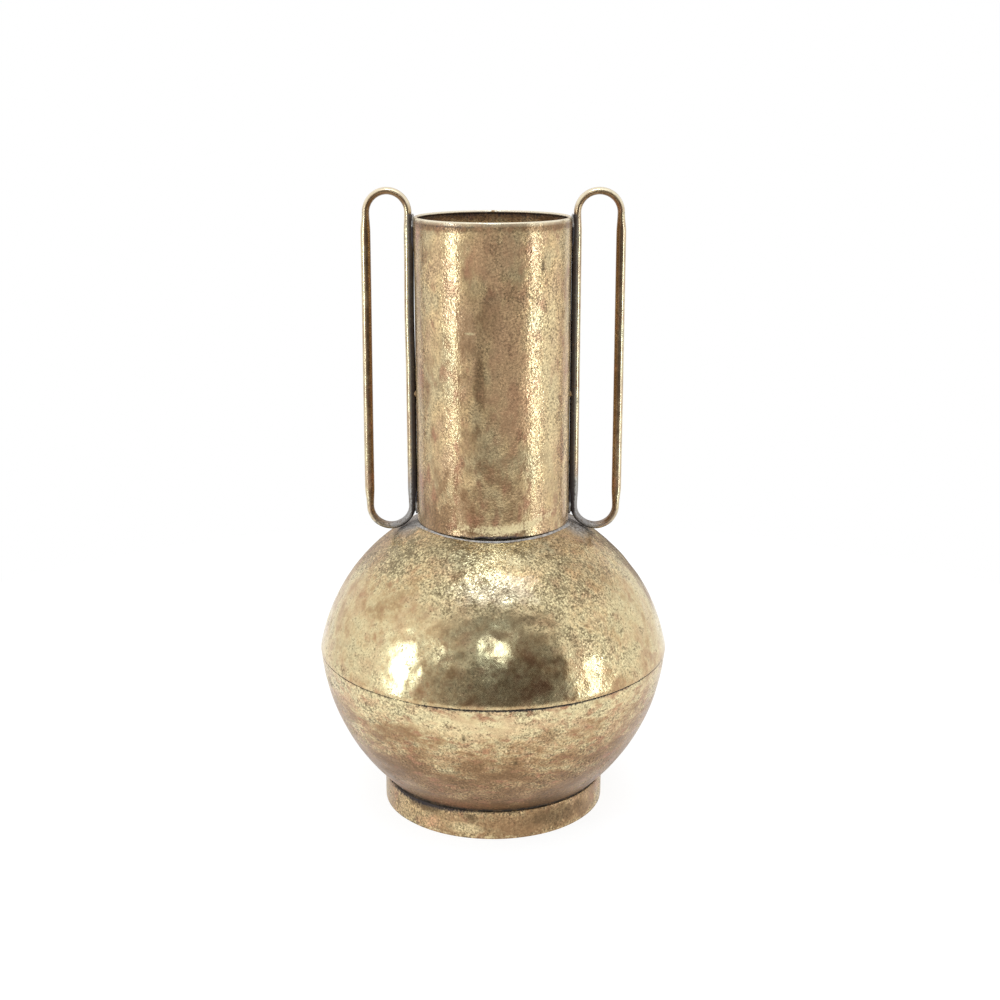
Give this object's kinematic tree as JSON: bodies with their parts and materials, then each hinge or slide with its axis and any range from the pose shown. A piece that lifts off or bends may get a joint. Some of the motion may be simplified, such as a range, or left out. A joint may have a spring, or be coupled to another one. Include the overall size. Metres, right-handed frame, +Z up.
{
  "type": "metal amphora vase",
  "caption": "Tall hammered brass amphora vase: round lapped belly on a low foot ring, straight neck with a curled rim, and loop handles of bent tube beside the neck.",
  "frame": {"origin": "centre of the foot ring on the surface that the vase stands on", "axes": "+Z up along the axis of the neck, +X from the axis to the right-hand handle, +Y to the back, where the sheet seams are"},
  "size_m": [0.238, 0.238, 0.4209],
  "materials": {
    "antique_brass": "hammered sheet with a mottled brown and gold patina and fine dark speckle, semi-matt",
    "dark_brass": "darkened brass strip with worn pale edges, semi-matt",
    "braze": "grey-brown filler metal with a lumpy, dull surface"
  },
  "bodies": {
    "root": {"foot_ring": "dark_brass", "foot_seam_braze": "braze", "foot_braze": "braze", "lower_bowl": "antique_brass", "upper_bowl": "antique_brass", "belly_seam_braze": "braze", "neck_tube": "antique_brass", "neck_seam_braze": "braze", "neck_base_braze": "braze", "right_handle": "antique_brass", "right_handle_joint_braze": "braze", "right_handle_top_tack": "braze", "right_handle_middle_tack": "braze", "right_handle_bottom_tack": "braze", "left_handle": "antique_brass", "left_handle_joint_braze": "braze", "left_handle_top_tack": "braze", "left_handle_middle_tack": "braze", "left_handle_bottom_tack": "braze"}
  },
  "joints": []
}
